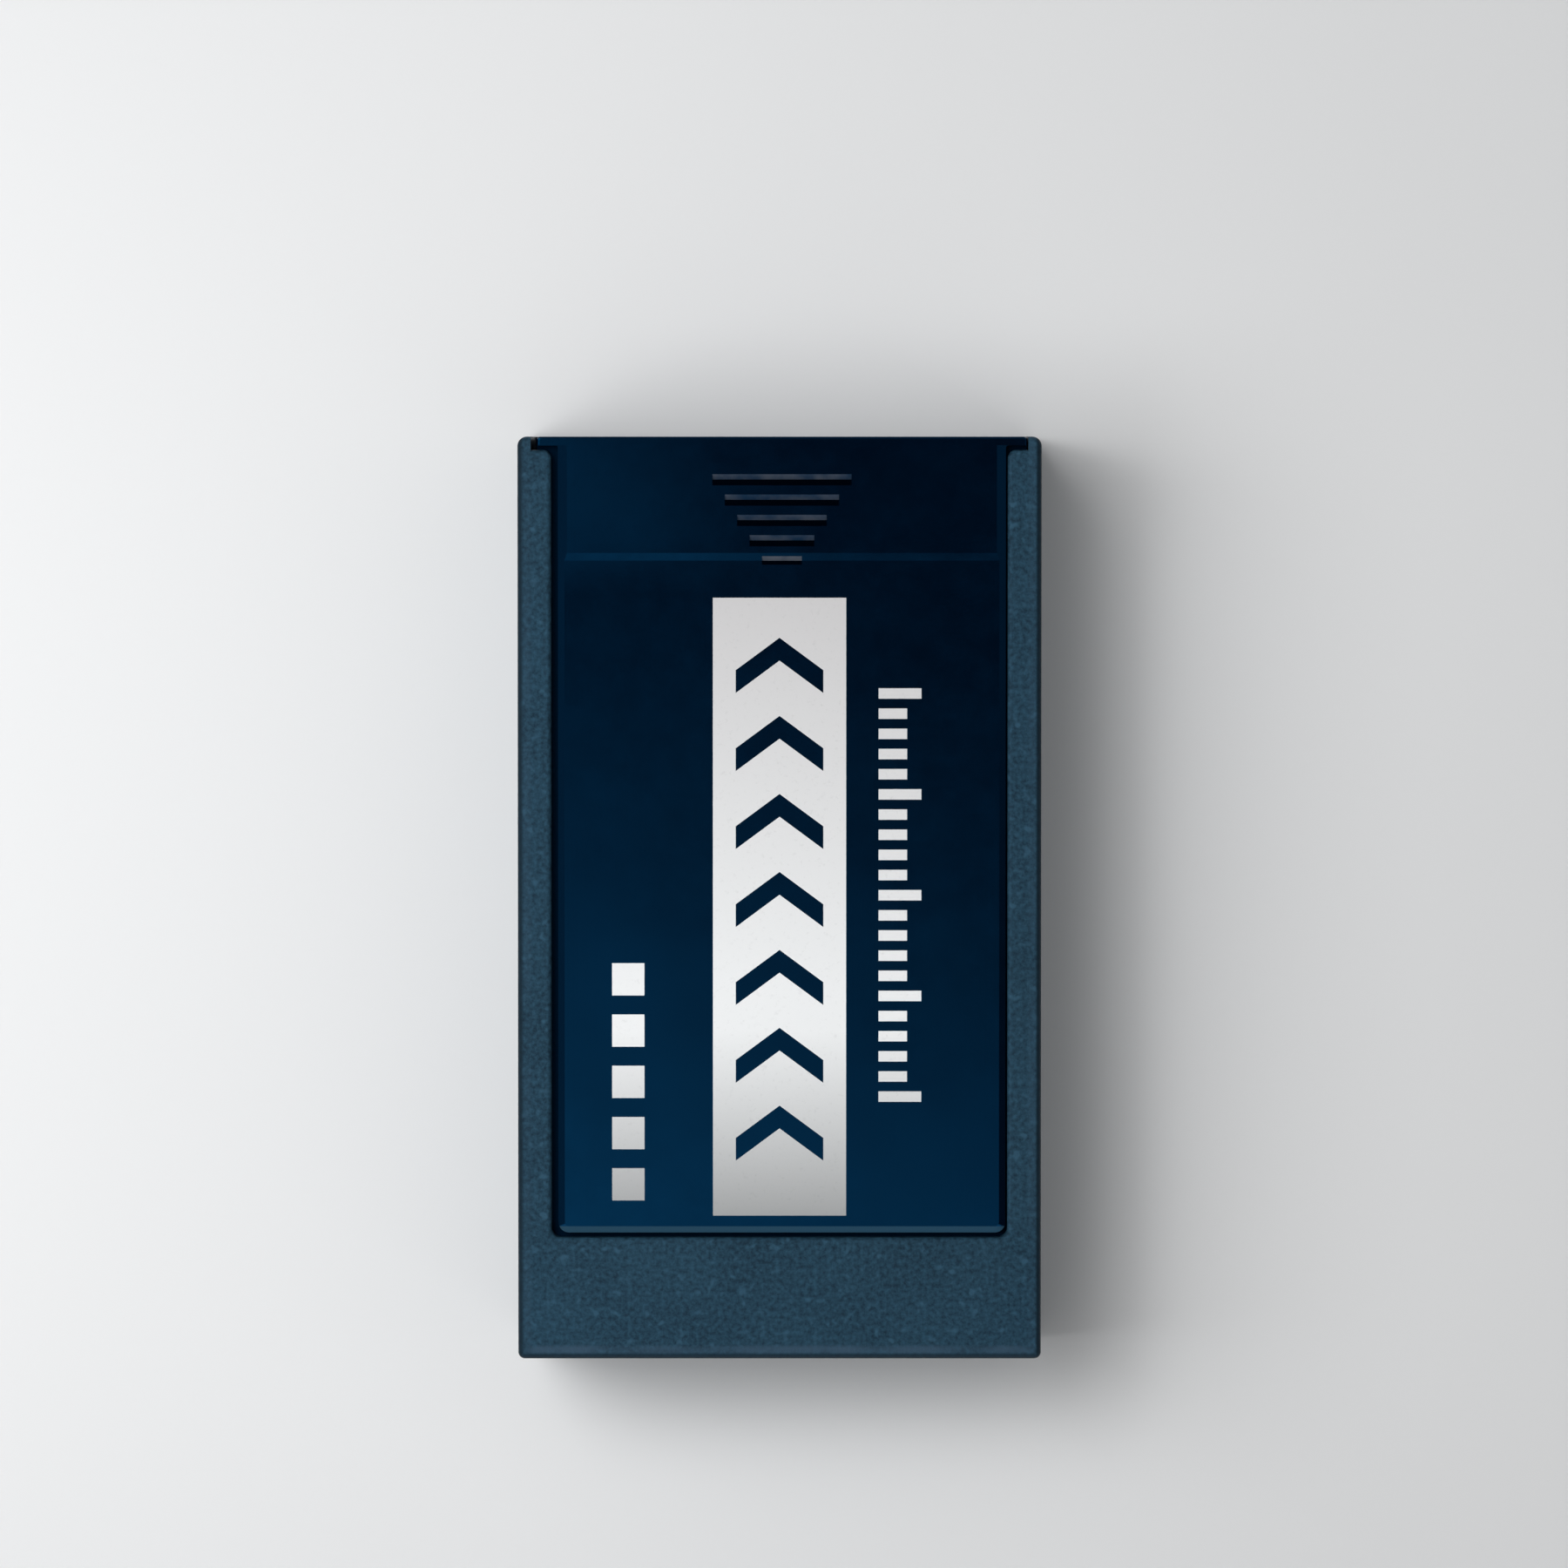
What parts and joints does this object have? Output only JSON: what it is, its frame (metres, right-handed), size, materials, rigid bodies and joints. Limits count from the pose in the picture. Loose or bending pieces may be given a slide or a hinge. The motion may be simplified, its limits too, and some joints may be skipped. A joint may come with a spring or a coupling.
{
  "type": "magnetic key holder box",
  "caption": "Flat rectangular box with a lid that slides off lengthwise over a key space, and block magnets set in its back to hold it on steel.",
  "frame": {"origin": "under the middle of the closed box, in the plane of the magnet faces that it rests on", "axes": "+Z out of the lid's face, +Y towards the open end, which is the way the lid slides out, +X across the box, to the right when the lid is seen with the open end up"},
  "size_m": [0.055, 0.097, 0.022],
  "materials": {
    "textured_plastic": "spark-eroded grain, matt slate blue",
    "polished_plastic": "polished mould, dark navy",
    "silver_ink": "pad-printed ink, silver grey to white",
    "ferrite": "sintered ferrite with ground faces, dark grey",
    "glue": "cured hot-melt film, translucent amber"
  },
  "bodies": {
    "box": {"box_body": "textured_plastic", "lower_magnet": "ferrite", "upper_magnet": "ferrite", "lower_magnet_glue": "glue", "upper_magnet_glue": "glue"},
    "lid": {"sliding_lid": "polished_plastic"}
  },
  "joints": [
    {"name": "lid_slide", "type": "slide", "parent": "box", "child": "lid", "axis": [0, 1, 0], "range_m": [0, 0.09]}
  ]
}
